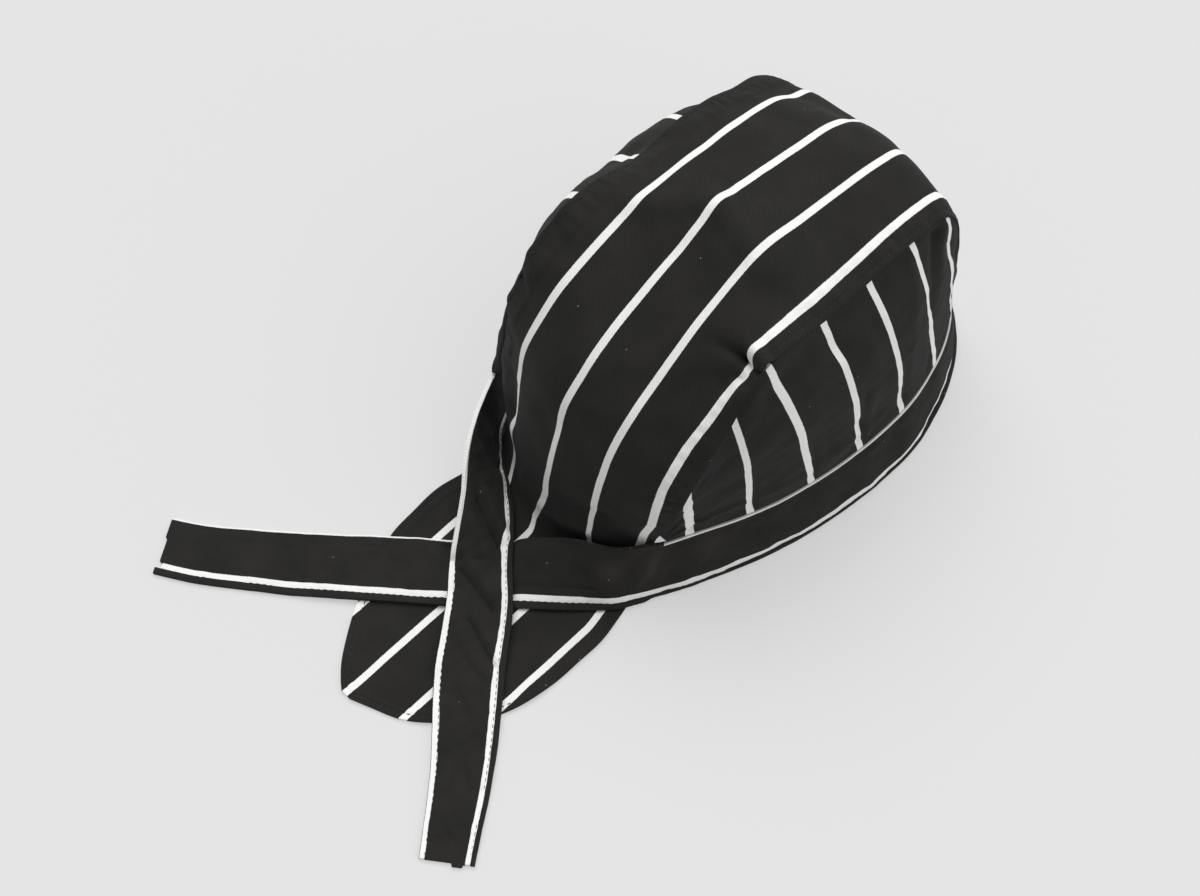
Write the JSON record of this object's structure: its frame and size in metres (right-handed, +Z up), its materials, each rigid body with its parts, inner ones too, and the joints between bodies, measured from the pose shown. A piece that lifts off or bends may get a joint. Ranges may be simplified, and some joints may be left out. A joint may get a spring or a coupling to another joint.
{
  "type": "bandana chef cap",
  "caption": "Soft bandana chef cap of striped black twill: centre panel with a tail, side panels, a headband and crossed ties, resting on its rim.",
  "frame": {"origin": "middle of the bounding box on the plane that the cap rests on", "axes": "+Z up; -Y towards the forehead and +Y towards the tail and the ties; +X towards the wearer's left"},
  "size_m": [0.2028, 0.3524, 0.1382],
  "materials": {
    "center_panel": "matt black cotton twill with thin off-white stripes",
    "side_panel_right": "matt black cotton twill with thin off-white stripes",
    "side_panel_left": "matt black cotton twill with thin off-white stripes",
    "headband": "matt black cotton twill with thin off-white stripes",
    "tie_right": "matt black cotton twill with thin off-white stripes",
    "tie_left": "matt black cotton twill with thin off-white stripes"
  },
  "bodies": {
    "root": {"center_panel": "center_panel", "side_panel_right": "side_panel_right", "side_panel_left": "side_panel_left", "headband": "headband", "tie_right": "tie_right", "tie_left": "tie_left"}
  },
  "joints": []
}
